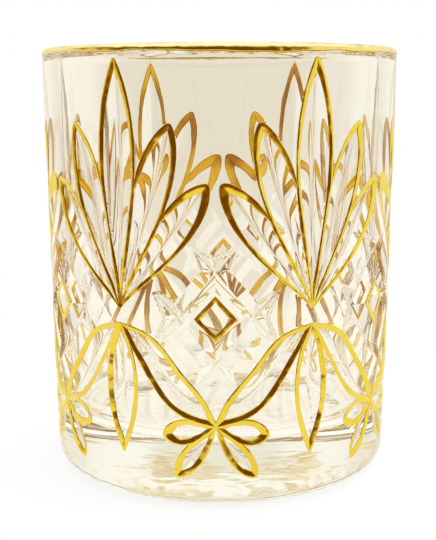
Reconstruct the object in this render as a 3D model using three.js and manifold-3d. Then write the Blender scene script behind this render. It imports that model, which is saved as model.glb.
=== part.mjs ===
// A whisky tumbler of clear cut glass with gilded cuts, in millimetres, +Z up.
// The origin is the middle of the foot, on the table. The front, at -Y, lies midway between two leaf fans.

import * as THREE from 'three';
import { TessellateModifier } from 'three/addons/modifiers/TessellateModifier.js';
import { mergeVertices } from 'three/addons/utils/BufferGeometryUtils.js';
import Module from 'manifold-3d';

// Glass body
const HEIGHT = 94.4; // table to the top of the glass lip
const RIM_RADIUS = 40; // outside of the wall, at the lip
const FOOT_RADIUS = 39.1; // outside of the wall, carried down to the table
const HEEL_ROUNDING = 4.2; // radius between the wall and the foot
const FOOT_RING_WIDTH = 4; // flat ring that the glass stands on
const PUNT_DEPTH = 0.8; // hollow under the base
const LIP_THICKNESS = 2.4; // wall at the fully rounded lip
const WALL_AT_FLOOR = 4.4; // wall beside the inside floor
const FLOOR_THICKNESS = 13; // solid glass under the drink
const FLOOR_ROUNDING = 6; // radius between the inside floor and the wall
const ROUND_STEPS = 48; // flats round the glass

// Gilding
const GILD_THICKNESS = 0.3; // gold line, measured off the glass
const GILD_CLEARANCE = 0.3; // between the gold and the glass
const LINE_WIDTH = 0.9; // gold line along a cut's edge
const DIAMOND_LINE_WIDTH = 1; // gold line round a diamond
const RIM_GILD_OUTSIDE = 1; // gold below the lip's top, outside
const RIM_GILD_INSIDE = 1.2; // gold below the lip's top, inside

// Cuts: leaves, petals and the diamond cross-cuts are all V-shaped
const REPEATS = 6; // leaf fans round the glass
const CUT_SLOPE = 0.32; // depth of a cut for each millimetre from its edge to its middle
const CUT_PROUD = 0.3; // how far a cutter's sides run on above the wall, so that no flap is left over a cut
const TIP_CLEARANCE = 0.02; // between a cutter's tips and the wall

// Leaf fan, sizes on the unrolled wall
const FAN_FOOT_HEIGHT = 42.2; // point that the five leaves spring from
const FAN_TOP_MARGIN = 2; // lip to the centre leaf's tip
const FAN_LEAF_START = 1.2; // fan's foot to where each leaf's cut begins
const INNER_TIP_DROP = 12.8; // centre leaf's tip down to the inner leaves' tips
const INNER_TIP_SPREAD = 11.8; // fan's axis to an inner leaf's tip
const OUTER_TIP_DROP = 25; // centre leaf's tip down to the outer leaves' tips
const OUTER_TIP_MARGIN = 2.4; // an outer leaf's tip to the line midway between fans
const CENTRE_LEAF_WIDTH = 8.1;
const INNER_LEAF_WIDTH = 7.8;
const OUTER_LEAF_WIDTH = 6.8;
const FAN_LEAF_SWELL = 0.63; // how far along its length a fan leaf is widest

// Leaf spray under each fan
const SPRAY_DROP = 3.4; // fan's foot down to the point that the three leaves spring from
const SPRAY_LEAF_START = 1; // that point to where each leaf's cut begins
const DROP_LEAF_LENGTH = 28.2;
const DROP_LEAF_WIDTH = 7.2;
const SIDE_LEAF_WIDTH = 7.2;
const SIDE_LEAF_SWAY = 0.7; // how far a side leaf's middle line swings each way
const SPRAY_LEAF_SWELL = 0.48;
const SPRAY_FLOWER_GAP = 3.2; // side leaf's tip to the flower's middle

// Flower between each two sprays
const FLOWER_HEIGHT = 18; // middle of the flower
const SIDE_PETAL_LENGTH = 10.8;
const SIDE_PETAL_WIDTH = 4.9;
const SIDE_PETAL_ANGLE = 11; // degrees below level
const LOWER_PETAL_LENGTH = 13.6;
const LOWER_PETAL_WIDTH = 4.2;
const LOWER_PETAL_ANGLE = 53; // degrees below level
const PETAL_SWELL = 0.62;
const PETAL_TIP = 0.7; // 1 is a pointed tip, less is rounder

// Diamond cross-cuts above each flower
const LATTICE_HEIGHT = 41; // middle of the gilded diamond
const LATTICE_HALF_WIDTH = 7.8; // middle to where the cuts cross at the side
const LATTICE_HALF_HEIGHT = 9.9; // middle to where the cuts cross above and below
const LATTICE_CUT_WIDTH = 5;
const LATTICE_OVERRUN = 7; // how far a cut runs on past each crossing
const LATTICE_TIP = 0.6; // taper of the cut's ends
const DIAMOND_WIDTH = 7.6; // gilded diamond, between the middles of its lines
const DIAMOND_HEIGHT = 8.3;

const BEND_RUN = 7; // longest straight run of a gold line round the wall

// Straight runs along each edge of a cut or a gold line
const LEAF_STEPS = 5;
const PETAL_STEPS = 4;
const LATTICE_STEPS = 3;

const wasm = await Module();
wasm.setup();

const glass = new THREE.MeshStandardMaterial({
  color: 0xe8e2d6,
  roughness: 0.03,
  metalness: 0,
  transparent: true,
  opacity: 0.35,
});
const gold = new THREE.MeshStandardMaterial({ color: 0xd8b040, roughness: 0.2, metalness: 1 });

// Closed three.js geometry to a solid that can be joined and cut.
function solidOf(geometry) {
  const bare = geometry.clone();
  bare.deleteAttribute('normal');
  bare.deleteAttribute('uv');
  const merged = mergeVertices(bare, 1e-5);
  const corners = Array.from(merged.index.array);
  const kept = [];
  for (let i = 0; i < corners.length; i += 3) {
    const [a, b, c] = corners.slice(i, i + 3);
    if (a !== b && b !== c && c !== a) kept.push(a, b, c);
  }
  const vertProperties = new Float32Array(merged.attributes.position.array);
  return new wasm.Manifold(new wasm.Mesh({ numProp: 3, vertProperties, triVerts: new Uint32Array(kept) }));
}

// Solid back to a three.js geometry.
function geometryOf(solid) {
  const { vertProperties, triVerts } = solid.getMesh();
  const geometry = new THREE.BufferGeometry();
  geometry.setAttribute('position', new THREE.BufferAttribute(new Float32Array(vertProperties), 3));
  geometry.setIndex(new THREE.BufferAttribute(new Uint32Array(triVerts), 1));
  geometry.computeVertexNormals();
  return geometry;
}

// Solid to a geometry with its long sideways runs split, so that it follows the round wall when it is rolled.
// Heights are squeezed meanwhile, because a run straight up the wall needs no split.
function bendable(solid) {
  const squeeze = 0.25;
  const flat = geometryOf(solid).toNonIndexed().scale(1, squeeze, 1);
  return mergeVertices(new TessellateModifier(BEND_RUN, 8).modify(flat).scale(1, 1 / squeeze, 1), 1e-5);
}

function unionOf(solids) {
  return solids.reduce((sum, solid) => sum.add(solid));
}

function namedMesh(name, geometry, material) {
  const mesh = new THREE.Mesh(geometry, material);
  mesh.name = name;
  return mesh;
}

// Outside radius of the wall before it is cut.
function wallRadius(z) {
  return FOOT_RADIUS + ((RIM_RADIUS - FOOT_RADIUS) * z) / HEIGHT;
}

// Distance on the unrolled wall from a fan's axis to the line midway between fans.
function halfPitch(z) {
  return (Math.PI / REPEATS) * wallRadius(z);
}

// Rolls a flat pattern (x sideways, y height, z off the wall) round the glass.
// Its line x = 0 lands at the given turn from the front.
function rollRound(geometry, turn) {
  const position = geometry.attributes.position;
  for (let i = 0; i < position.count; i += 1) {
    const z = position.getY(i);
    const angle = turn + position.getX(i) / wallRadius(z);
    const radius = wallRadius(z) + position.getZ(i);
    position.setXYZ(i, radius * Math.sin(angle), -radius * Math.cos(angle), z);
  }
  geometry.computeVertexNormals();
  return geometry;
}

// Arc points of a lathe profile, from one angle to another in degrees.
function arc(centreX, centreY, radius, from, to, steps) {
  const points = [];
  for (let i = 0; i <= steps; i += 1) {
    const angle = THREE.MathUtils.degToRad(from + ((to - from) * i) / steps);
    points.push(new THREE.Vector2(centreX + radius * Math.cos(angle), centreY + radius * Math.sin(angle)));
  }
  return points;
}

// Lathe profile turned round +Z.
function turned(profile, steps) {
  return new THREE.LatheGeometry(profile, steps).rotateX(Math.PI / 2);
}

// A leaf is flat: a middle line from base to tip, with a half width along it.
function leaf(base, tip, width, { swell, tipShape = 1, sway = 0, steps = LEAF_STEPS }) {
  const along = tip.clone().sub(base);
  const angle = along.angle() - Math.PI / 2;
  return { base, length: along.length(), angle, width, swell, tipShape, sway, steps };
}

// Half the width of a leaf at a place along it, where u runs from 0 at its base to 1 at its tip.
function leafHalfWidth({ width, swell, tipShape }, u) {
  const rise = (u / swell) ** ((tipShape * swell) / (1 - swell));
  const fall = ((1 - u) / (1 - swell)) ** tipShape;
  return (width / 2) * rise * fall;
}

// Places from one end to another, closer together at both ends.
function easedSteps(from, to, steps) {
  return Array.from({ length: steps + 1 }, (_, i) => {
    const eased = (1 - Math.cos((Math.PI * i) / steps)) / 2;
    return THREE.MathUtils.lerp(from, to, eased);
  });
}

// Sets a leaf geometry, standing on the origin along +Y, at the leaf's own place on the flat pattern.
function setLeaf(geometry, { base, length, angle, sway }) {
  const position = geometry.attributes.position;
  for (let i = 0; i < position.count; i += 1) {
    const u = THREE.MathUtils.clamp(position.getY(i) / length, 0, 1);
    position.setX(i, position.getX(i) + sway * Math.sin(2 * Math.PI * u));
  }
  return geometry.rotateZ(angle).translate(base.x, base.y, 0);
}

// The V-shaped cut of a leaf: a spindle with four sides, one edge of it deepest in the glass.
// Between its ends, its side edges run on up the same slopes, because straight runs sag below the round wall.
function leafCut(shape) {
  const profile = easedSteps(0, 1, shape.steps).map(
    (u) => new THREE.Vector2(leafHalfWidth(shape, u), u * shape.length),
  );
  const spindle = new THREE.LatheGeometry(profile, 4).scale(1, 1, CUT_SLOPE);
  const position = spindle.attributes.position;
  for (let i = 0; i < position.count; i += 1) {
    const x = position.getX(i);
    const z = position.getZ(i);
    if (Math.abs(x) > 1e-6) position.setX(i, x + (Math.sign(x) * CUT_PROUD) / CUT_SLOPE);
    if (Math.abs(x) > 1e-6 || z > 1e-6) position.setZ(i, z + CUT_PROUD);
  }
  return solidOf(setLeaf(spindle, shape).translate(0, 0, TIP_CLEARANCE));
}

// Closed flat outline from half widths at places along a leaf.
function leafOutline(halves) {
  const right = halves.map(([x, y]) => new THREE.Vector2(x, y));
  const left = halves.map(([x, y]) => new THREE.Vector2(-x, y)).reverse();
  return [...right, ...left].filter((p, i, all) => p.distanceTo(all[(i + 1) % all.length]) > 1e-6);
}

// The gold line round a leaf: a flat loop with the line's middle on the cut's edge.
function leafLine(shape) {
  const half = LINE_WIDTH / 2;
  const fine = easedSteps(0, 1, 400).filter((u) => leafHalfWidth(shape, u) > half);
  const outside = easedSteps(0, 1, shape.steps).map((u) => [
    leafHalfWidth(shape, u) + half,
    THREE.MathUtils.lerp(-half, shape.length + half, u),
  ]);
  const inside = easedSteps(fine[0], fine[fine.length - 1], shape.steps).map((u, i) => [
    i === 0 || i === shape.steps ? 0 : leafHalfWidth(shape, u) - half,
    u * shape.length,
  ]);
  const outline = new THREE.Shape(leafOutline(outside));
  outline.holes.push(new THREE.Path(leafOutline(inside)));
  const line = new THREE.ExtrudeGeometry(outline, { depth: GILD_THICKNESS, bevelEnabled: false });
  return solidOf(setLeaf(line, shape).translate(0, 0, GILD_CLEARANCE));
}

// Point at a distance from a start towards an end.
function pointTowards(start, end, distance) {
  return start.clone().add(end.clone().sub(start).setLength(distance));
}

// Five leaves that spring from one point and open towards the lip.
function fanLeaves() {
  const foot = new THREE.Vector2(0, FAN_FOOT_HEIGHT);
  const top = HEIGHT - FAN_TOP_MARGIN;
  const innerHeight = top - INNER_TIP_DROP;
  const outerHeight = top - OUTER_TIP_DROP;
  const outerSpread = halfPitch(outerHeight) - OUTER_TIP_MARGIN;
  const tips = [
    [0, top, CENTRE_LEAF_WIDTH],
    [-INNER_TIP_SPREAD, innerHeight, INNER_LEAF_WIDTH],
    [INNER_TIP_SPREAD, innerHeight, INNER_LEAF_WIDTH],
    [-outerSpread, outerHeight, OUTER_LEAF_WIDTH],
    [outerSpread, outerHeight, OUTER_LEAF_WIDTH],
  ];
  return tips.map(([x, y, width]) => {
    const tip = new THREE.Vector2(x, y);
    return leaf(pointTowards(foot, tip, FAN_LEAF_START), tip, width, { swell: FAN_LEAF_SWELL });
  });
}

// Three leaves that hang from a point under the fan: one straight down and one to each neighbouring flower.
function sprayLeaves() {
  const top = new THREE.Vector2(0, FAN_FOOT_HEIGHT - SPRAY_DROP);
  const drop = new THREE.Vector2(0, top.y - DROP_LEAF_LENGTH);
  const leaves = [
    leaf(pointTowards(top, drop, SPRAY_LEAF_START), drop, DROP_LEAF_WIDTH, { swell: SPRAY_LEAF_SWELL }),
  ];
  for (const side of [-1, 1]) {
    const flower = new THREE.Vector2(side * halfPitch(FLOWER_HEIGHT), FLOWER_HEIGHT);
    leaves.push(
      leaf(
        pointTowards(top, flower, SPRAY_LEAF_START),
        pointTowards(flower, top, SPRAY_FLOWER_GAP),
        SIDE_LEAF_WIDTH,
        { swell: SPRAY_LEAF_SWELL, sway: side * SIDE_LEAF_SWAY },
      ),
    );
  }
  return leaves;
}

// Four petals round the point where two sprays meet.
function flowerPetals() {
  const middle = new THREE.Vector2(0, FLOWER_HEIGHT);
  const kinds = [
    [SIDE_PETAL_ANGLE, SIDE_PETAL_LENGTH, SIDE_PETAL_WIDTH],
    [LOWER_PETAL_ANGLE, LOWER_PETAL_LENGTH, LOWER_PETAL_WIDTH],
  ];
  return kinds.flatMap(([below, length, width]) =>
    [-1, 1].map((side) => {
      const slope = THREE.MathUtils.degToRad(below);
      const reach = new THREE.Vector2(side * Math.cos(slope), -Math.sin(slope)).multiplyScalar(length);
      const shape = { swell: PETAL_SWELL, tipShape: PETAL_TIP, steps: PETAL_STEPS };
      return leaf(middle, middle.clone().add(reach), width, shape);
    }),
  );
}

// Four straight cuts that cross round the diamond and run on past each crossing.
function latticeCuts() {
  const above = new THREE.Vector2(0, LATTICE_HEIGHT + LATTICE_HALF_HEIGHT);
  const below = new THREE.Vector2(0, LATTICE_HEIGHT - LATTICE_HALF_HEIGHT);
  return [-1, 1].flatMap((side) => {
    const beside = new THREE.Vector2(side * LATTICE_HALF_WIDTH, LATTICE_HEIGHT);
    return [above, below].map((end) => {
      const start = pointTowards(beside, end, -LATTICE_OVERRUN);
      const finish = pointTowards(end, beside, -LATTICE_OVERRUN);
      const shape = { swell: 0.5, tipShape: LATTICE_TIP, steps: LATTICE_STEPS };
      return leaf(start, finish, LATTICE_CUT_WIDTH, shape);
    });
  });
}

// The gold line round the flat top of a diamond.
function diamondLine() {
  const corner = Math.hypot(DIAMOND_WIDTH, DIAMOND_HEIGHT) / 2;
  const ring = (grow) => {
    const wide = DIAMOND_WIDTH / 2 + (grow * corner) / (DIAMOND_HEIGHT / 2);
    const high = DIAMOND_HEIGHT / 2 + (grow * corner) / (DIAMOND_WIDTH / 2);
    return [
      new THREE.Vector2(wide, LATTICE_HEIGHT),
      new THREE.Vector2(0, LATTICE_HEIGHT + high),
      new THREE.Vector2(-wide, LATTICE_HEIGHT),
      new THREE.Vector2(0, LATTICE_HEIGHT - high),
    ];
  };
  const outline = new THREE.Shape(ring(DIAMOND_LINE_WIDTH / 2));
  outline.holes.push(new THREE.Path(ring(-DIAMOND_LINE_WIDTH / 2)));
  const line = new THREE.ExtrudeGeometry(outline, { depth: GILD_THICKNESS, bevelEnabled: false });
  return solidOf(line.translate(0, 0, GILD_CLEARANCE));
}

// The lip's round section: its radius, and the middle of the circle.
function lipSection() {
  const radius = LIP_THICKNESS / 2;
  const height = HEIGHT - radius;
  return { radius, height, out: wallRadius(height) - radius };
}

// Glass before it is cut: a thick base, a tapering wall and a round lip, in one turned profile.
// The punt is a shallow bowl, so halfway out it is still three quarters as deep.
function blank() {
  const lip = lipSection();
  const heelMiddle = wallRadius(HEEL_ROUNDING) - HEEL_ROUNDING;
  const floorWall = wallRadius(FLOOR_THICKNESS) - WALL_AT_FLOOR;
  const floorMiddle = floorWall - FLOOR_ROUNDING;
  const puntRadius = heelMiddle - FOOT_RING_WIDTH;
  return turned(
    [
      new THREE.Vector2(0, PUNT_DEPTH),
      new THREE.Vector2(puntRadius / 2, PUNT_DEPTH * 0.75),
      new THREE.Vector2(puntRadius, 0),
      ...arc(heelMiddle, HEEL_ROUNDING, HEEL_ROUNDING, -90, 0, 4),
      ...arc(lip.out, lip.height, lip.radius, 0, 180, 4),
      ...arc(floorMiddle, FLOOR_THICKNESS + FLOOR_ROUNDING, FLOOR_ROUNDING, 0, -90, 3),
      new THREE.Vector2(0, FLOOR_THICKNESS),
    ],
    ROUND_STEPS,
  );
}

// Gold over the lip, down the outside and the inside.
function rimGilding() {
  const lip = lipSection();
  const near = lip.radius + GILD_CLEARANCE;
  const far = near + GILD_THICKNESS;
  const angleAt = (drop) => {
    const rise = THREE.MathUtils.clamp(1 - drop / lip.radius, -1, 1);
    return THREE.MathUtils.radToDeg(Math.asin(rise));
  };
  const from = angleAt(RIM_GILD_OUTSIDE);
  const to = 180 - angleAt(RIM_GILD_INSIDE);
  const outer = arc(lip.out, lip.height, far, from, to, 4);
  const inner = arc(lip.out, lip.height, near, to, from, 4);
  return turned([...outer, ...inner, outer[0]], ROUND_STEPS);
}

const tumbler = new THREE.Group();
const fanCuts = geometryOf(unionOf([...fanLeaves(), ...sprayLeaves()].map(leafCut)));
const columnCuts = geometryOf(unionOf([...flowerPetals(), ...latticeCuts()].map(leafCut)));
const fanLine = bendable(unionOf(fanLeaves().map(leafLine)));
const sprayLine = bendable(unionOf(sprayLeaves().map(leafLine)));
const flowerLine = bendable(unionOf(flowerPetals().map(leafLine)));
const diamondGold = bendable(diamondLine());

let body = solidOf(blank());
for (let i = 0; i < REPEATS; i += 1) {
  const column = (2 * Math.PI * i) / REPEATS;
  const fan = column + Math.PI / REPEATS;
  body = body.subtract(solidOf(rollRound(fanCuts.clone(), fan)));
  body = body.subtract(solidOf(rollRound(columnCuts.clone(), column)));
  tumbler.add(namedMesh(`fan_gilding_${i + 1}`, rollRound(fanLine.clone(), fan), gold));
  tumbler.add(namedMesh(`leaf_spray_gilding_${i + 1}`, rollRound(sprayLine.clone(), fan), gold));
  tumbler.add(namedMesh(`flower_gilding_${i + 1}`, rollRound(flowerLine.clone(), column), gold));
  tumbler.add(namedMesh(`diamond_gilding_${i + 1}`, rollRound(diamondGold.clone(), column), gold));
}
tumbler.add(namedMesh('tumbler_body', geometryOf(body), glass));
tumbler.add(namedMesh('rim_gilding', geometryOf(solidOf(rimGilding())), gold));

export default tumbler;
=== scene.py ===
import bmesh
import bpy
import numpy as np
from mathutils import Matrix, Vector


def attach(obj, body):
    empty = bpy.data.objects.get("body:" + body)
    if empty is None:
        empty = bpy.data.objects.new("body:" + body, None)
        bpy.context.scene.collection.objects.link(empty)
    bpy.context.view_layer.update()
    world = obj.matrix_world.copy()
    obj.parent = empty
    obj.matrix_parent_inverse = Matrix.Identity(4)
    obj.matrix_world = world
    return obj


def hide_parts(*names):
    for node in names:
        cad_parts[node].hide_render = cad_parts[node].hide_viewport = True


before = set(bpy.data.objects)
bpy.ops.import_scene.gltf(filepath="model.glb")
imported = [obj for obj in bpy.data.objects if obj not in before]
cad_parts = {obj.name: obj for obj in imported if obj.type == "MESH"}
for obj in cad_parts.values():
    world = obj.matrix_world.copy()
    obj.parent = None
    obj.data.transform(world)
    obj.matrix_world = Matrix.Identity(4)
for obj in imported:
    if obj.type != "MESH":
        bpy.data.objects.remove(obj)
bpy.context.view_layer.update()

# Glass body
# A heavy whisky tumbler of clear glass, turned in one piece: a thick base, a tapering wall and a round lip.
# Leaves, petals and crossed grooves are cut into the outside of the wall with V-shaped wheels, then polished.
# The underside is ground, and a little uneven. Sizes are in millimetres.

MILLIMETRE = 0.001
GLASS_TOP = 94.85
RIM_RADIUS = 40.0
FOOT_RADIUS = 39.1
HEEL_ROUNDING = 4.2
FOOT_RING_WIDTH = 4.0
PUNT_DEPTH = 0.8
LIP_ROUNDING = 1.2
WALL_AT_FLOOR = 3.5
WALL_UNDER_LIP = 3.0
FLARE_HEIGHT = 92.5
FLOOR_HEIGHT = 13.0
FLOOR_DISH = 0.4
FLOOR_ROUNDING = 6.0
REPEATS = 6
PITCH = 2 * np.pi / REPEATS
CUT_SLOPE = 0.32
CUT_BOTTOM_ROUNDING = 0.35


def wall_radius(z):
    """Outside radius of the uncut wall: a straight taper from the table to the lip."""
    return FOOT_RADIUS + (RIM_RADIUS - FOOT_RADIUS) * z / GLASS_TOP


class Leaf:
    """A leaf on the unrolled wall, as a line from its base to its tip with an edge on either side of it.
    An edge is a function that gives its distance from the line, where u runs from 0 at the base to 1 at
    the tip."""

    def __init__(self, base, tip, right_edge, left_edge):
        self.base = np.array(base, float)
        self.tip = np.array(tip, float)
        self.length = np.linalg.norm(self.tip - self.base)
        self.along = (self.tip - self.base) / self.length
        self.across = np.array([self.along[1], -self.along[0]])
        self.edges = {1: right_edge, -1: left_edge}

    def half_width(self, u):
        """Half the distance between the two edges."""
        return (self.edges[1](u) + self.edges[-1](u)) / 2

    def level_with(self, s, z):
        """Half width of the leaf level with a point, and the point's distance from the leaf's middle."""
        ds = s - self.base[0]
        dz = z - self.base[1]
        u = np.clip((ds * self.along[0] + dz * self.along[1]) / self.length, 0, 1)
        middle = (self.edges[1](u) - self.edges[-1](u)) / 2
        v = ds * self.across[0] + dz * self.across[1] - middle
        return self.half_width(u), v

    def cut_depth(self, s, z):
        """A V-shaped cut with a rounded bottom: from the middle to the edge, depth falls away at the cutting
        slope."""
        half, v = self.level_with(s, z)
        return CUT_SLOPE * (np.hypot(half, CUT_BOTTOM_ROUNDING) - np.hypot(v, CUT_BOTTOM_ROUNDING))


def leaf_edge(width, base_shape, tip_shape):
    """Edge of a leaf: a power of u rises from the base and a power of 1 - u falls to the tip.
    Their product is half the width at its greatest. A higher power draws that end out to a finer point."""
    widest = base_shape / (base_shape + tip_shape)

    def edge(u):
        return width / 2 * (u / widest) ** base_shape * ((1 - u) / (1 - widest)) ** tip_shape

    return edge


def bowed_edge(first, second, third):
    """Edge of a bowed leaf: the sum of three sine waves of u, with one, two and three half turns."""

    def edge(u):
        return first * np.sin(np.pi * u) + second * np.sin(2 * np.pi * u) + third * np.sin(3 * np.pi * u)

    return edge


# Each leaf of a fan: its tip's distance from the fan's axis, its tip's height, its width and its tip's shape
FAN_TIPS = {
    "centre": (0.0, 91.7, 8.1, 0.93),
    "inner": (11.8, 79.2, 7.4, 0.78),
    "outer": (19.0, 67.4, 6.6, 0.76),
}
FAN_FOOT = 42.2
FAN_BASE_SHAPE = 1.5
fan_leaves = {}
for kind, (spread, height, width, tip_shape) in FAN_TIPS.items():
    for hand in (-1, 1):
        shape = leaf_edge(width, FAN_BASE_SHAPE, tip_shape)
        fan_leaves[kind, hand] = Leaf((0, FAN_FOOT), (hand * spread, height), shape, shape)
del fan_leaves["centre", -1]

SPRAY_TOP = 38.8
DROP_TIP = 11.3
DROP_WIDTH = 7.2
DROP_BASE_SHAPE = 0.92
DROP_TIP_SHAPE = 1.0
UPPER_BOW = (3.65, 0.6, 0.6)
LOWER_BOW = (3.65, -0.85, 0.15)
FLOWER_HEIGHT = 18.1
flower_aside = PITCH / 2 * wall_radius(FLOWER_HEIGHT)
drop_edge = leaf_edge(DROP_WIDTH, DROP_BASE_SHAPE, DROP_TIP_SHAPE)
upper_edge = bowed_edge(*UPPER_BOW)
lower_edge = bowed_edge(*LOWER_BOW)
spray_leaves = {
    "drop": Leaf((0, SPRAY_TOP), (0, DROP_TIP), drop_edge, drop_edge),
    "right": Leaf((0, SPRAY_TOP), (flower_aside, FLOWER_HEIGHT), lower_edge, upper_edge),
    "left": Leaf((0, SPRAY_TOP), (-flower_aside, FLOWER_HEIGHT), upper_edge, lower_edge),
}

# Each petal of a flower: degrees below level, length and width
PETALS = {"side": (11.0, 10.9, 4.9), "lower": (53.0, 13.6, 4.1)}
PETAL_BASE_SHAPE = 1.14
PETAL_TIP_SHAPE = 0.7
flower_petals = {}
for kind, (below, length, width) in PETALS.items():
    for hand in (-1, 1):
        slope = np.radians(below)
        tip = (hand * length * np.cos(slope), FLOWER_HEIGHT - length * np.sin(slope))
        shape = leaf_edge(width, PETAL_BASE_SHAPE, PETAL_TIP_SHAPE)
        flower_petals[kind, hand] = Leaf((0, FLOWER_HEIGHT), tip, shape, shape)

LATTICE_HEIGHT = 40.8
CROSSING = np.array([7.99, 9.5])
DIAMOND = np.array([4.27, 4.7])
GROOVE_HALF_WIDTH = 2.518
GROOVE_DEPTH = 1.4
GROOVE_OVERRUN = 7.0


def lattice_depth(s, z):
    """Four straight grooves that cross round a diamond. Inside them the glass slopes up to the diamond's flat
    top, in proportion to the distance between the top's edge and the bottom of the groove. Outside, each
    groove slopes up to the wall, and past the crossings it narrows to nothing over the overrun."""
    a = np.abs(s)
    b = np.abs(z - LATTICE_HEIGHT)
    from_bottom = 1 - (a / CROSSING[0] + b / CROSSING[1])
    past_top = np.clip(a / DIAMOND[0] + b / DIAMOND[1] - 1, 0, None)
    slope_up = past_top / np.maximum(past_top + np.abs(from_bottom), 1e-9)
    deepest = GROOVE_DEPTH * np.where(from_bottom >= 0, slope_up, 0)
    side = np.linalg.norm(CROSSING)
    outward = np.array([CROSSING[1], CROSSING[0]]) / side
    onward = np.array([-CROSSING[0], CROSSING[1]]) / side
    for hand in (-1, 1):
        for up in (-1, 1):
            x = hand * s - CROSSING[0]
            y = up * (z - LATTICE_HEIGHT)
            distance = np.abs(x * outward[0] + y * outward[1])
            run = x * onward[0] + y * onward[1]
            beyond = np.maximum(-run, run - side) / GROOVE_OVERRUN
            share = 1 - np.clip(beyond, 0, 1)
            groove = GROOVE_DEPTH * share - GROOVE_DEPTH / GROOVE_HALF_WIDTH * distance
            deepest = np.maximum(deepest, np.where(from_bottom >= 0, 0, groove))
    return deepest


def cut_depth(turn, z):
    """Depth of the deepest cut at a turn round the glass and a height. Fans and flower columns repeat six
    times, half a pitch apart."""
    radius = wall_radius(z)
    from_fan = (turn % PITCH - PITCH / 2) * radius
    from_column = ((turn + PITCH / 2) % PITCH - PITCH / 2) * radius
    depth = lattice_depth(from_column, z)
    for leaf in [*fan_leaves.values(), *spray_leaves.values()]:
        depth = np.maximum(depth, leaf.cut_depth(from_fan, z))
    for petal in flower_petals.values():
        depth = np.maximum(depth, petal.cut_depth(from_column, z))
    return np.maximum(depth, 0)


def arc(centre, radius, first, last, steps):
    """Points of a circle's arc between two angles in degrees, as rows of radius and height."""
    angle = np.radians(np.linspace(first, last, steps))
    return np.stack([centre[0] + radius * np.cos(angle), centre[1] + radius * np.sin(angle)], axis=-1)


def piece_from(name, points, faces, material):
    """Smooth object at the origin from points in metres and faces by index, with one material."""
    mesh = bpy.data.meshes.new(name)
    mesh.from_pydata(points, [], faces)
    mesh.polygons.foreach_set("use_smooth", np.full(len(mesh.polygons), True))
    mesh.materials.append(material)
    mesh.update()
    piece = bpy.data.objects.new(name, mesh)
    bpy.context.scene.collection.objects.link(piece)
    return piece


class Shade:
    """A socket in a node tree. Arithmetic on it adds Math nodes, and node() adds a node of any other kind."""

    def __init__(self, tree, socket=None):
        self.tree = tree
        self.socket = socket

    def node(self, kind, settings=None, sockets=None, output=0):
        """Adds a node of a kind, with its settings first, then the value or link of each socket.
        Gives one of its outputs."""
        made = self.tree.nodes.new(kind)
        for name, value in (settings or {}).items():
            if name == "stops":
                while len(made.color_ramp.elements) < len(value):
                    made.color_ramp.elements.new(0.5)
                for element, (place, colour) in zip(made.color_ramp.elements, value):
                    element.position = place
                    element.color = (*colour, 1)
            else:
                setattr(made, name, value)
        for name, value in (sockets or {}).items():
            if isinstance(value, Shade):
                value.feed(made, name)
            else:
                made.inputs[name].default_value = value
        return Shade(self.tree, made.outputs[output] if made.outputs else None)

    def feed(self, node, socket):
        """Links this to a socket of a node."""
        self.tree.links.new(self.socket, node.inputs[socket])

    def math(self, operation, first, second):
        return self.node("ShaderNodeMath", {"operation": operation}, {0: first, 1: second})

    def __add__(self, other):
        return self.math("ADD", self, other)

    def __radd__(self, other):
        return self.math("ADD", other, self)

    def __sub__(self, other):
        return self.math("SUBTRACT", self, other)

    def __rsub__(self, other):
        return self.math("SUBTRACT", other, self)

    def __mul__(self, other):
        return self.math("MULTIPLY", self, other)

    def __rmul__(self, other):
        return self.math("MULTIPLY", other, self)

    def __truediv__(self, other):
        return self.math("DIVIDE", self, other)

    def __rtruediv__(self, other):
        return self.math("DIVIDE", other, self)

    def smooth(self, low, high):
        """0 below low, 1 above high, and a smooth step between them."""
        sockets = {"Value": self, "From Min": low, "From Max": high}
        return self.node("ShaderNodeMapRange", {"interpolation_type": "SMOOTHSTEP"}, sockets)

    def mix(self, first, second):
        """Colour between two others, by this factor."""
        return self.node("ShaderNodeMix", {"data_type": "RGBA"}, {0: self, 6: first, 7: second}, 2)

    def part(self, letter):
        """One of a vector's three numbers."""
        return self.node("ShaderNodeSeparateXYZ", None, {0: self}, letter)

    def noise(self, scale, detail, roughness=0.5):
        """Cloudy noise at this place, with so many clouds to a metre."""
        sockets = {"Vector": self, "Scale": scale, "Detail": detail, "Roughness": roughness}
        return self.node("ShaderNodeTexNoise", None, sockets)


def new_material(name):
    """New material with a Principled shader, as the material, a Shade to build it with, and the shader."""
    material = bpy.data.materials.new(name)
    material.use_nodes = True
    shader = material.node_tree.nodes["Principled BSDF"]
    return material, Shade(material.node_tree), shader


clear_glass, build, shader = new_material("clear_glass")
place = build.node("ShaderNodeTexCoord", output="Object")
slow = place.noise(90.0, 2.0)
fine = place.noise(420.0, 1.0)
pressed = place.noise(230.0, 1.0, 0.4)
above_table = place.part("Z")
underside = 1 - above_table.smooth(0.001, 0.004)
ripple = 0.016 * slow + 0.004 * fine + 0.3 * underside * pressed
bump = build.node("ShaderNodeBump", None, {"Height": ripple, "Strength": 1.0, "Distance": 0.001})
bump.feed(shader, "Normal")
ground_foot = 1 - above_table.smooth(0.0008, 0.0014)
polish = 0.004 + 0.012 * slow.smooth(0.45, 0.75) + 0.1 * ground_foot
polish.feed(shader, "Roughness")
shader.inputs["Base Color"].default_value = (0.995, 0.99, 0.98, 1)
shader.inputs["Transmission Weight"].default_value = 1.0
shader.inputs["IOR"].default_value = 1.52

COLUMNS = 528
ROWS_TO_CROSSING = 17
ROWS_BELOW_DIAMOND = 64
ROWS_ABOVE_DIAMOND = 53
ROWS_BELOW_LIP = 29

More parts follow.
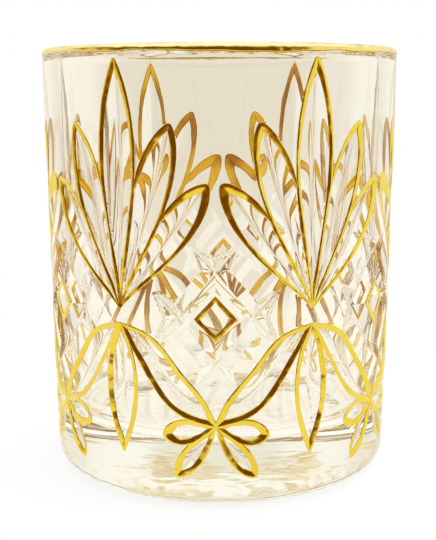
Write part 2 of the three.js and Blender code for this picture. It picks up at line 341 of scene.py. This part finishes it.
# Half the body's outline, from the middle of the underside, round heel and lip, to the middle of the floor
heel_middle = wall_radius(HEEL_ROUNDING) - HEEL_ROUNDING
punt_radius = heel_middle - FOOT_RING_WIDTH
punt = np.linspace(0.1, 1, 8) * punt_radius
under = np.stack([punt, PUNT_DEPTH * (1 - (punt / punt_radius) ** 2)], axis=-1)
heel = arc((heel_middle, HEEL_ROUNDING), HEEL_ROUNDING, -90, 0, 6)
row_rise = CROSSING[1] / ROWS_TO_CROSSING
lattice_rows = LATTICE_HEIGHT + row_rise * np.arange(-ROWS_BELOW_DIAMOND, ROWS_ABOVE_DIAMOND)
upper_rows = np.linspace(lattice_rows[-1], FLARE_HEIGHT + 0.4, ROWS_BELOW_LIP)[1:]
wall_heights = np.concatenate([lattice_rows, upper_rows])
wall = np.stack([wall_radius(wall_heights), wall_heights], axis=-1)
lip_height = GLASS_TOP - LIP_ROUNDING
lip_middle = wall_radius(lip_height) - LIP_ROUNDING
lip = arc((lip_middle, lip_height), LIP_ROUNDING, 0, 180, 9)
flare_share = np.linspace(0, 1, 5)[1:]
flare_height = lip_height + (FLARE_HEIGHT - lip_height) * flare_share
flare_ease = flare_share**2 * (3 - 2 * flare_share)
flare_wall = 2 * LIP_ROUNDING + (WALL_UNDER_LIP - 2 * LIP_ROUNDING) * flare_ease
flare = np.stack([wall_radius(flare_height) - flare_wall, flare_height], axis=-1)
floor_middle = wall_radius(FLOOR_HEIGHT) - WALL_AT_FLOOR - FLOOR_ROUNDING
inside_low = arc((floor_middle, FLOOR_HEIGHT + FLOOR_ROUNDING), FLOOR_ROUNDING, 0, -90, 7)
inner_share = np.array([0.005, 0.2, 0.8, 0.995])[:, None]
inner_wall = flare[-1] + (inside_low[0] - flare[-1]) * inner_share
dish = np.linspace(0.8, 0.2, 4) * floor_middle
inside_floor = np.stack([dish, FLOOR_HEIGHT - FLOOR_DISH * (1 - (dish / floor_middle) ** 2)], axis=-1)
profile = np.concatenate([under, heel, wall, lip, flare, inner_wall, inside_low, inside_floor])

# The outline carried round the axis, with the cuts taken off the outside rows
outside = np.arange(len(profile)) < len(under) + len(heel) + len(wall)
turns = np.arange(COLUMNS) * 2 * np.pi / COLUMNS
row_height = profile[:, 1, None]
depth = cut_depth(turns[None, :], row_height) * outside[:, None]
radius = profile[:, 0, None] - depth
ring_height = np.broadcast_to(row_height, radius.shape)
ring = np.stack([radius * np.sin(turns), -radius * np.cos(turns), ring_height], axis=-1)
poles = np.array([[[0, 0, PUNT_DEPTH]], [[0, 0, FLOOR_HEIGHT - FLOOR_DISH]]], float)
body_points = np.concatenate([poles[0], ring.reshape(-1, 3), poles[1]]) * MILLIMETRE

# Each cell of the grid is split along the diagonal that lies closer to the cut, so slanting edges stay sharp
index = 1 + np.arange(len(profile) * COLUMNS).reshape(len(profile), COLUMNS)
near = index[:-1]
near_next = np.roll(index, -1, axis=1)[:-1]
far = index[1:]
far_next = np.roll(index, -1, axis=1)[1:]
middle_turn = turns[None, :] + np.pi / COLUMNS
middle_height = (row_height[:-1] + row_height[1:]) / 2
middle_depth = cut_depth(middle_turn, middle_height) * outside[:-1, None]
depth_next = np.roll(depth, -1, axis=1)
rising_error = np.abs((depth[:-1] + depth_next[1:]) / 2 - middle_depth)
falling_error = np.abs((depth_next[:-1] + depth[1:]) / 2 - middle_depth)
rising = (rising_error <= falling_error)[..., None]
rising_halves = [np.stack([near, near_next, far_next], -1), np.stack([near, far_next, far], -1)]
falling_halves = [np.stack([near, near_next, far], -1), np.stack([near_next, far_next, far], -1)]
first_half = np.where(rising, rising_halves[0], falling_halves[0])
second_half = np.where(rising, rising_halves[1], falling_halves[1])
under_fan = np.stack([np.zeros_like(index[0]), np.roll(index[0], -1), index[0]], -1)
floor_pole = np.full_like(index[-1], len(body_points) - 1)
floor_fan = np.stack([index[-1], np.roll(index[-1], -1), floor_pole], -1)
body_faces = np.concatenate([first_half.reshape(-1, 3), second_half.reshape(-1, 3), under_fan, floor_fan])
glass_body = piece_from("glass_body", body_points, body_faces.tolist(), clear_glass)

# Facets of the crossed grooves meet in sharp edges, and every other edge of the body is polished round
SHARP = np.radians(7)
DEPTH_ROOM = 0.05
PLACE_ROOM = 0.1
DEEPEST_OUTSIDE = 2.0
glass_body.data.set_sharp_from_angle(angle=SHARP)
edge_count = len(glass_body.data.edges)
ends = np.empty(2 * edge_count, np.int32)
glass_body.data.edges.foreach_get("vertices", ends)
edge_middle = body_points[ends.reshape(-1, 2)].mean(axis=1) / MILLIMETRE
edge_height = edge_middle[:, 2]
edge_turn = np.arctan2(edge_middle[:, 0], -edge_middle[:, 1])
from_column = ((edge_turn + PITCH / 2) % PITCH - PITCH / 2) * wall_radius(edge_height)
by_lattice = lattice_depth(from_column, edge_height) > cut_depth(edge_turn, edge_height) - DEPTH_ROOM
beside = np.abs(from_column) < CROSSING[0] + PLACE_ROOM
near_lattice = beside & (np.abs(edge_height - LATTICE_HEIGHT) < CROSSING[1] + PLACE_ROOM)
on_outside = np.hypot(edge_middle[:, 0], edge_middle[:, 1]) > RIM_RADIUS - DEEPEST_OUTSIDE
sharp = np.empty(edge_count, bool)
glass_body.data.attributes["sharp_edge"].data.foreach_get("value", sharp)
sharp &= by_lattice & near_lattice & on_outside
glass_body.data.attributes["sharp_edge"].data.foreach_set("value", sharp)
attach(glass_body, "root")
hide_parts("tumbler_body")

# Leaf fan gilding
# Liquid gold painted by brush along the edges of the five leaves of each fan, and fired on.
# A line lies on the wall and, more, on the slope of the cut. It runs full at the tips.
# The lines of the fans at the back are broader, and from within the glass the gold looks amber.

GOLD_RISE = 0.1
GOLD_EDGE = 0.03
GOLD_SINK = 0.06
UNDER_COLUMNS = 5
FULL_GOLD = (0.91, 0.71, 0.085, 1)
THIN_GOLD = (0.88, 0.63, 0.05, 1)
# The next colour is a painted highlight: a paler gold on the top of the lip
LIP_HIGHLIGHT_GOLD = (0.97, 0.86, 0.42, 1)
LIGHT_AMBER = (0.96, 0.63, 0.03, 1)
DEEP_AMBER = (0.54, 0.22, 0.001, 1)
# The next colour is a painted highlight: a paler amber low on the glass
LOW_HIGHLIGHT_AMBER = (1.0, 0.88, 0.5, 1)

gold, build, shader = new_material("fired_gold")
place = build.node("ShaderNodeTexCoord", output="Object")
brush = place.noise(300.0, 1.5)
cloud = place.noise(70.0, 2.0)
painted = cloud.smooth(0.4, 0.7).mix(FULL_GOLD, THIN_GOLD)
# Near the top of the lip the gold turns pale, a painted highlight
colour = place.part("Z").smooth(0.0932, 0.0946).mix(painted, LIP_HIGHLIGHT_GOLD)
colour.feed(shader, "Base Color")
sheen = 0.14 + 0.14 * brush.smooth(0.35, 0.7)
sheen.feed(shader, "Roughness")
bump = build.node("ShaderNodeBump", None, {"Height": brush + 5 * cloud, "Strength": 0.6, "Distance": 0.0007})
bump.feed(shader, "Normal")
shader.inputs["Metallic"].default_value = 1.0

amber, build, shader = new_material("gold_from_within")
place = build.node("ShaderNodeTexCoord", output="Object")
cloud = place.noise(75.0, 2.0)
deep = cloud.smooth(0.4, 0.6).mix(LIGHT_AMBER, DEEP_AMBER)
# Low on the glass the gold seen from within turns pale, a painted highlight
colour = place.part("Z").smooth(0.012, 0.032).mix(LOW_HIGHLIGHT_AMBER, deep)
colour.feed(shader, "Base Color")
sheen = 0.18 + 0.12 * cloud.smooth(0.4, 0.7)
sheen.feed(shader, "Roughness")
shader.inputs["Metallic"].default_value = 1.0


def on_wall(turn, z, rise):
    """Points on the cut wall in metres, lifted off it by a rise in millimetres. Turn 0 faces the front."""
    radius = wall_radius(z) - cut_depth(turn, z) + rise
    return np.stack([radius * np.sin(turn), -radius * np.cos(turn), z], axis=-1) * MILLIMETRE


def brush_width(u, seed):
    """Hand-held brush: the width of a line swings by up to about an eighth, in two slow waves along it."""
    slow_wave = 0.08 * np.sin(2 * np.pi * 1.7 * u + 1.9 * seed)
    quick_wave = 0.05 * np.sin(2 * np.pi * 4.3 * u + 3.1 * seed)
    return 1 + slow_wave + quick_wave


def gold_strip(points, outward, inside, outside, axis_turn):
    """Painted line as a closed grid. Across each point of its path it runs from the inner to the outer side
    over a flat crown, one minus the sixteenth power of the place across, and back under itself, sunk in
    the glass."""
    over = np.array([-1, -0.94, -0.82, -0.45, -0.06, 0.06, 0.45, 0.82, 0.94, 1])
    back = np.linspace(1, -1, UNDER_COLUMNS + 2)[1:-1]
    place = np.concatenate([over, back])
    crown = np.concatenate([GOLD_RISE * (1 - over**16) + GOLD_EDGE, np.full(len(back), -GOLD_SINK)])
    reach = np.where(place < 0, place * inside[:, None], place * outside[:, None])
    s = points[:, 0, None] + outward[:, 0, None] * reach
    z = points[:, 1, None] + outward[:, 1, None] * reach
    return on_wall(axis_turn + s / wall_radius(z), z, crown[None, :])


LINE_POINTS = 44
TIP_POINTS = 6
TIP_FULLNESS = 3.5
FINE_RUN = 0.09
FINE_WIDTH = 0.3
STEEPEST = 0.25
LAP = 0.01


def edge_strip(leaf, side, axis_turn, inside, outside, seed, first, base_width, tip_width):
    """Painted line along one edge of a leaf: the edge's own points and normals, then a turn round the tip.
    The width grows from the base to the tip with a power of u. Inside, it never crosses the leaf's middle.
    A line that leaves a neighbour's starts fine."""
    u = first + (1 - first) * (1 - np.cos(np.linspace(0, np.pi, LINE_POINTS))) / 2
    offset = side * leaf.edges[side](u)
    points = leaf.base + np.outer(u * leaf.length, leaf.along) + np.outer(offset, leaf.across)
    tangent = np.gradient(points, axis=0)
    tangent /= np.linalg.norm(tangent, axis=1)[:, None]
    outward = side * np.stack([tangent[:, 1], -tangent[:, 0]], axis=-1)
    width = (base_width + (tip_width - base_width) * u**TIP_FULLNESS) * brush_width(u, seed)
    if first > 0:
        width *= FINE_WIDTH + (1 - FINE_WIDTH) * np.clip((u - first) / FINE_RUN, 0, 1)
    to_middle = leaf.half_width(u) / np.maximum(np.abs(outward @ leaf.across), STEEPEST)
    inner = np.minimum(inside * width, to_middle + LAP)
    outer = outside * width
    swing = np.linspace(0, 1, TIP_POINTS + 1)[1:, None]
    round_tip = (1 - swing) * outward[-1] + swing * leaf.along
    round_tip /= np.linalg.norm(round_tip, axis=1)[:, None]
    points = np.concatenate([points, np.repeat(leaf.tip[None, :], TIP_POINTS, axis=0)])
    outward = np.concatenate([outward, round_tip])
    inner = np.concatenate([inner, np.full(TIP_POINTS, LAP)])
    outer = np.concatenate([outer, np.full(TIP_POINTS, outer[-1])])
    return gold_strip(points, outward, inner, outer, axis_turn)


def gilding_piece(name, strips, closed=False):
    """One piece from several painted lines: quads round and along each grid, and a cap on each end of an open
    one. The side that lies on the glass gets the finish of gold seen from within."""
    points = []
    faces = []
    finish = []
    start = 0
    for strip in strips:
        rows, columns = strip.shape[:2]
        index = start + np.arange(rows * columns).reshape(rows, columns)
        onward = np.roll(index, -1, axis=0) if closed else index[1:]
        here = index if closed else index[:-1]
        quads = np.stack([here, np.roll(here, -1, axis=1), np.roll(onward, -1, axis=1), onward], axis=-1)
        faces += quads.reshape(-1, 4).tolist()
        beneath = np.arange(columns) >= columns - UNDER_COLUMNS - 1
        finish.append(np.tile(beneath, len(here)))
        if not closed:
            faces += [index[0].tolist(), index[-1].tolist()]
            finish.append([False, False])
        points.append(strip.reshape(-1, 3))
        start += rows * columns
    piece = piece_from(name, np.concatenate(points), faces, gold)
    piece.data.materials.append(amber)
    piece.data.polygons.foreach_set("material_index", np.concatenate(finish).astype(np.int32))
    shell = bmesh.new()
    shell.from_mesh(piece.data)
    bmesh.ops.recalc_face_normals(shell, faces=shell.faces)
    shell.to_mesh(piece.data)
    shell.free()
    return piece


PARTING_GAP = 0.25
PARTED_BY = 0.9


def parting(leaf, side, neighbour):
    """Place along a leaf's edge from which it stands clear of a neighbour's line. Below it, that line serves
    both leaves."""
    u = np.linspace(0, 1, 400)
    points = leaf.base + np.outer(u * leaf.length, leaf.along)
    points += np.outer(side * leaf.edges[side](u), leaf.across)
    half, v = neighbour.level_with(points[:, 0], points[:, 1])
    clear = np.abs(v) - half > PARTING_GAP
    shared = np.flatnonzero(~clear & (u < PARTED_BY))
    return u[shared[-1]]


FAN_LINE_WIDTHS = {"centre": (0.8, 1.35), "inner": (0.77, 1.4), "outer": (0.73, 1.75)}
FAN_BREADTH_BEHIND = {"centre": 1.05, "inner": 1.3, "outer": 1.6}
FAN_LINE_INSIDE = 0.68
FAN_LINE_OUTSIDE = 0.45
NEXT_INWARD = {"inner": "centre", "outer": "inner"}


def is_behind(axis_turn):
    """Whether a motif's axis is on the back half of the glass, or at its sides."""
    return np.cos(axis_turn) < 0.1


for number in range(REPEATS):
    axis = PITCH * number + PITCH / 2
    strips = []
    for (kind, hand), leaf in fan_leaves.items():
        breadth = FAN_BREADTH_BEHIND[kind] if is_behind(axis) else 1.0
        base_width, tip_width = np.array(FAN_LINE_WIDTHS[kind]) * breadth
        for side in (-1, 1):
            first = 0.0
            if kind in NEXT_INWARD and side == -hand:
                neighbour = NEXT_INWARD[kind]
                first = parting(leaf, side, fan_leaves[neighbour, 1 if neighbour == "centre" else hand])
            seed = number + 3 * side + 5 * hand
            reach = (FAN_LINE_INSIDE, FAN_LINE_OUTSIDE)
            strips.append(edge_strip(leaf, side, axis, *reach, seed, first, base_width, tip_width))
    fan_gold = gilding_piece(f"fan_gold_{number + 1}", strips)
    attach(fan_gold, "root")
    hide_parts(f"fan_gilding_{number + 1}")

# Leaf spray gilding
# The same painted gold round the three leaves that hang below each fan, broader on the sprays at the back.
# The two side leaves join in one arch over the top, and their tips run into the neighbouring flowers.

SPRAY_LINE_INSIDE = 0.78
SPRAY_LINE_OUTSIDE = 0.27
SPRAY_LINE_WIDTHS = (1.1, 1.4)
SPRAY_BREADTH_BEHIND = 1.35
for number in range(REPEATS):
    axis = PITCH * number + PITCH / 2
    breadth = SPRAY_BREADTH_BEHIND if is_behind(axis) else 1.0
    base_width, tip_width = np.array(SPRAY_LINE_WIDTHS) * breadth
    strips = []
    for kind, leaf in spray_leaves.items():
        for side in (-1, 1):
            seed = number + 2 * side + len(kind)
            reach = (SPRAY_LINE_INSIDE, SPRAY_LINE_OUTSIDE)
            strips.append(edge_strip(leaf, side, axis, *reach, seed, 0.0, base_width, tip_width))
    spray_gold = gilding_piece(f"spray_gold_{number + 1}", strips)
    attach(spray_gold, "root")
    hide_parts(f"leaf_spray_gilding_{number + 1}")

# Flower gilding
# Painted gold round the four petals of the small flower where two sprays meet.
# The lines are broad inside the petals, fill out at their tips and run together in the middle.

PETAL_LINE_INSIDE = 0.9
PETAL_LINE_OUTSIDE = 0.36
PETAL_LINE_START = 0.02
PETAL_BASE_WIDTH = 1.0
PETAL_TIP_WIDTHS = {"side": 1.5, "lower": 1.15}
for number in range(REPEATS):
    axis = PITCH * number
    strips = []
    for (kind, hand), petal in flower_petals.items():
        for side in (-1, 1):
            seed = number + 2 * side + 3 * hand
            reach = (PETAL_LINE_INSIDE, PETAL_LINE_OUTSIDE)
            widths = (PETAL_BASE_WIDTH, PETAL_TIP_WIDTHS[kind])
            strips.append(edge_strip(petal, side, axis, *reach, seed, PETAL_LINE_START, *widths))
    flower_gold = gilding_piece(f"flower_gold_{number + 1}", strips)
    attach(flower_gold, "root")
    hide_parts(f"flower_gilding_{number + 1}")

# Diamond gilding
# A painted gold frame round the flat top of the diamond that the crossed grooves leave standing.
# It lies on the flat, just over the edge of the four slopes, with square corners.

FRAME_INSIDE = 0.9
FRAME_OUTSIDE = 0.12
FRAME_POINTS = 14
corners = np.array([[DIAMOND[0], 0], [0, DIAMOND[1]], [-DIAMOND[0], 0], [0, -DIAMOND[1]]])
sides = np.roll(corners, -1, axis=0) - corners
side_normal = np.stack([sides[:, 1], -sides[:, 0]], axis=-1) / np.linalg.norm(sides, axis=1)[:, None]
corner_normal = side_normal + np.roll(side_normal, 1, axis=0)
corner_normal /= np.sum(corner_normal * side_normal, axis=1)[:, None]
next_normal = np.roll(corner_normal, -1, axis=0)
share = np.linspace(0, 1, FRAME_POINTS + 1)[:-1, None]
frame_points = (corners[:, None] + share * sides[:, None]).reshape(-1, 2) + [0, LATTICE_HEIGHT]
frame_outward = ((1 - share) * corner_normal[:, None] + share * next_normal[:, None]).reshape(-1, 2)
round_frame = 2 * np.pi * np.arange(len(frame_points)) / len(frame_points)

for number in range(REPEATS):
    wave = 1 + 0.08 * np.sin(3 * round_frame + number) + 0.05 * np.sin(7 * round_frame)
    strip = gold_strip(frame_points, frame_outward, FRAME_INSIDE * wave, FRAME_OUTSIDE * wave, PITCH * number)
    diamond_gold = gilding_piece(f"diamond_gold_{number + 1}", [strip], closed=True)
    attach(diamond_gold, "root")
    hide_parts(f"diamond_gilding_{number + 1}")

# Rim gilding
# A band of gold laid over the rounded lip while the glass turns on a wheel, then fired.
# Its lower edges, outside and inside, waver a little, and it reaches lower outside at the front.

RIM_GOLD = 0.13
RIM_SINK = 0.05
RIM_POINTS = 360
RIM_COLUMNS = 13
FIRST_ANGLE = -4
LAST_ANGLE = 182
FRONT_DROP = 34
FRONT_DROP_TURN = 0.2
FRONT_DROP_WIDTH = 0.3
rim_turn = np.arange(RIM_POINTS) * 2 * np.pi / RIM_POINTS
waver = 4 * np.sin(5 * rim_turn + 0.6) + 3 * np.sin(13 * rim_turn) + 2 * np.sin(29 * rim_turn + 1.1)
from_drop = (rim_turn - FRONT_DROP_TURN + np.pi) % (2 * np.pi) - np.pi
lower_in_front = FRONT_DROP * np.exp(-((from_drop / FRONT_DROP_WIDTH) ** 2))
rim_first = (FIRST_ANGLE + 1.4 * waver - lower_in_front)[:, None]
rim_last = LAST_ANGLE + waver[::-1, None]
rim_place = np.linspace(0, 1, RIM_COLUMNS)[None, :]
over_angle = np.radians(rim_first + (rim_last - rim_first) * rim_place)
under_angle = over_angle[:, 2 * np.arange(UNDER_COLUMNS, 0, -1)]
rim_angle = np.concatenate([over_angle, under_angle], axis=1)
over_reach = LIP_ROUNDING + RIM_GOLD * (1 - (2 * rim_place - 1) ** 6)
under_reach = np.full((1, UNDER_COLUMNS), LIP_ROUNDING - RIM_SINK)
rim_reach = np.concatenate([over_reach, under_reach], axis=1)

# Below the lip's rounding the band runs straight down the wall
round_lip = np.maximum(rim_angle, 0)
rim_radius = lip_middle + rim_reach * np.cos(round_lip)
rim_height = lip_height + rim_reach * np.sin(round_lip) + LIP_ROUNDING * np.minimum(rim_angle, 0)
rim_x = rim_radius * np.sin(rim_turn)[:, None]
rim_y = -rim_radius * np.cos(rim_turn)[:, None]
rim_strip = np.stack([rim_x, rim_y, rim_height], axis=-1) * MILLIMETRE
rim_gold = gilding_piece("rim_gold", [rim_strip], closed=True)
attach(rim_gold, "root")
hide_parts("rim_gilding")

# Studio
# A plain white floor and white surroundings, lit by two soft lamps.
# Gold mirrors a brown room with bright windows and a bright ceiling.
# Through the glass there is a warm pale wall with white beside it, and a golden room in front.

WARM_WALL = (0.85, 0.80, 0.67, 1)
GOLDEN_ROOM = (0.74, 0.58, 0.22, 1)
WHITE_SIDES = (0.985, 0.955, 0.84, 1)
PALE = (1.02, 0.992, 0.86, 1)
CEILING = (1.2, 1.18, 1.12, 1)
WHITE = (1, 1, 1, 1)
ROOM = [
    (0.0, (0.085, 0.03, 0.008)),
    (0.25, (0.38, 0.17, 0.05)),
    (0.55, (0.75, 0.57, 0.22)),
    (1.0, (1.0, 0.98, 0.9)),
]
TABLE_GLEAM = 0.22
ROOM_GLEAM = 0.06
GOLDEN_SHARE = 0.85


def room_light(toward_right, toward_front):
    """Brightness of the room that gold mirrors: a window on the right, a dimmer one on the left, and a bright
    wall at the back."""
    right = toward_right.smooth(0.68, 0.95)
    left = (0 - toward_right).smooth(0.88, 0.99)
    back = (0 - toward_front).smooth(0.0, 0.5)
    return 0.95 * right + 0.5 * left + 0.85 * back


def wall_behind(toward_right):
    """Colour seen through the glass: a warm wall, white on both sides of it, and warm again further round."""
    aside = toward_right * toward_right
    beside = aside.smooth(0.025, 0.07) * (1 - aside.smooth(0.2, 0.5))
    return beside.mix(WARM_WALL, WHITE_SIDES)


white_world = bpy.data.worlds.new("white_world")
white_world.use_nodes = True
bpy.context.scene.world = white_world
build = Shade(white_world.node_tree)
direction = build.node("ShaderNodeTexCoord", output="Generated")
to_right = direction.part("X")
to_front = 0 - direction.part("Y")
overhead = direction.part("Z").smooth(0.45, 0.8)
room_shade = room_light(to_right, to_front) + ROOM_GLEAM
room = build.node("ShaderNodeValToRGB", {"stops": ROOM}, {0: room_shade})
mirrored = overhead.mix(room, CEILING)
before = GOLDEN_SHARE * to_front.smooth(0.25, 0.65)
seen_through = before.mix(overhead.mix(wall_behind(to_right), PALE), GOLDEN_ROOM)
is_mirrored = build.node("ShaderNodeLightPath", output="Is Reflection Ray")
is_camera = build.node("ShaderNodeLightPath", output="Is Camera Ray")
surround = is_camera.mix(is_mirrored.mix(seen_through, mirrored), WHITE)
surround.feed(white_world.node_tree.nodes["Background"], "Color")

# To the camera the floor is a white table, with the shadow kept near the glass.
# Gold and glass see it glow with painted light: the room's light lying on it,
# and a pale oval pool of painted light round the glass.
white_floor, build, shader = new_material("white_floor")
shader.inputs["Base Color"].default_value = (0.9, 0.9, 0.9, 1)
shader.inputs["Roughness"].default_value = 0.9
place = build.node("ShaderNodeTexCoord", output="Object")
apart = build.node("ShaderNodeVectorMath", {"operation": "LENGTH"}, {0: place}, "Value")
floor_right = place.part("X") / apart
floor_front = 0 - place.part("Y") / apart
# A pale oval pool of painted light round the glass, which reaches less far in front where gold mirrors it
light_pool_place = build.node("ShaderNodeVectorMath", {"operation": "MULTIPLY"}, {0: place, 1: (0.5, 1.0, 1.0)})
from_middle = build.node("ShaderNodeVectorMath", {"operation": "LENGTH"}, {0: light_pool_place}, "Value")
light_pool = 1 - from_middle.smooth(0.12, 0.22)
mirrored_light_pool = 1 - (from_middle * (1 + 0.35 * floor_front.smooth(0.0, 0.5))).smooth(0.12, 0.22)
gleam = TABLE_GLEAM * (1 - 0.75 * apart.smooth(0.25, 0.6))
floor_shade = room_light(floor_right, floor_front) + mirrored_light_pool + gleam
floor_mirrored = build.node("ShaderNodeValToRGB", {"stops": ROOM}, {0: floor_shade})
before = GOLDEN_SHARE * floor_front.smooth(0.25, 0.65) * apart.smooth(0.22, 0.5)
floor_seen = before.mix(light_pool.mix(wall_behind(floor_right), PALE), GOLDEN_ROOM)
is_mirrored = build.node("ShaderNodeLightPath", output="Is Reflection Ray")
is_camera = build.node("ShaderNodeLightPath", output="Is Camera Ray")
is_through = build.node("ShaderNodeLightPath", output="Is Transmission Ray")
floor_colour = is_camera.mix(is_mirrored.mix(floor_seen, floor_mirrored), WHITE)
glow = build.node("ShaderNodeEmission", None, {"Color": floor_colour, "Strength": 1.0})
clear_floor = 0.88 + 0.12 * apart.smooth(0.06, 0.16)
share = clear_floor * is_camera + is_mirrored + is_through
lit = Shade(build.tree, shader.outputs[0])
floor_look = build.node("ShaderNodeMixShader", None, {0: share, 1: lit, 2: glow})
floor_look.feed(build.tree.nodes["Material Output"], "Surface")
FLOOR_SIZE = 3.0
floor_points = np.array([[-1, -1, 0], [1, -1, 0], [1, 1, 0], [-1, 1, 0]]) * FLOOR_SIZE
white_table = piece_from("white_table", floor_points, [[0, 1, 2, 3]], white_floor)

GLASS_MIDDLE = Vector((0, 0, 0.05))


def soft_box(name, place, size, energy):
    """Square soft lamp at a place in metres, turned to face the middle of the glass."""
    lamp = bpy.data.lights.new(name, "AREA")
    lamp.size = size
    lamp.energy = energy
    box = bpy.data.objects.new(name, lamp)
    bpy.context.scene.collection.objects.link(box)
    facing = (GLASS_MIDDLE - Vector(place)).to_track_quat("-Z", "Y")
    box.matrix_world = Matrix.Translation(place) @ facing.to_matrix().to_4x4()
    box.visible_camera = False
    box.visible_glossy = False
    box.visible_transmission = False


soft_box("soft_box_above", (0.15, 0.1, 0.9), 0.7, 7.0)
soft_box("soft_box_right", (0.8, -0.25, 0.45), 0.5, 3.0)

# Camera
# It stands close to the glass, level with the upper wall, and looks slightly down, as in the photograph.
# Light may pass through many faces of glass before it is given up.

LONG_SIDE_PIXELS = 540
FOCAL_PIXELS = 996.0
RIGHT_PIXELS = 2.1
DOWN_PIXELS = 18.9
AZIMUTH = np.radians(1.36)
DISTANCE = 0.2339
HEIGHT = 0.0862
LOOK_DOWN = np.radians(11.36)
ROLL = -0.003
lens = bpy.data.cameras.new("photo_camera")
lens.sensor_width = 36.0
lens.lens = FOCAL_PIXELS * lens.sensor_width / LONG_SIDE_PIXELS
lens.shift_x = -RIGHT_PIXELS / LONG_SIDE_PIXELS
lens.shift_y = DOWN_PIXELS / LONG_SIDE_PIXELS
lens.clip_start = 0.01
camera = bpy.data.objects.new("photo_camera", lens)
bpy.context.scene.collection.objects.link(camera)
stand = Matrix.Translation((DISTANCE * np.sin(AZIMUTH), -DISTANCE * np.cos(AZIMUTH), HEIGHT))
aim = Matrix.Rotation(AZIMUTH, 4, "Z") @ Matrix.Rotation(np.pi / 2 - LOOK_DOWN, 4, "X")
camera.matrix_world = stand @ aim @ Matrix.Rotation(ROLL, 4, "Z")
bpy.context.scene.camera = camera
bpy.context.scene.view_settings.view_transform = "Standard"
bpy.context.scene.cycles.max_bounces = 32
bpy.context.scene.cycles.glossy_bounces = 16
bpy.context.scene.cycles.transmission_bounces = 24
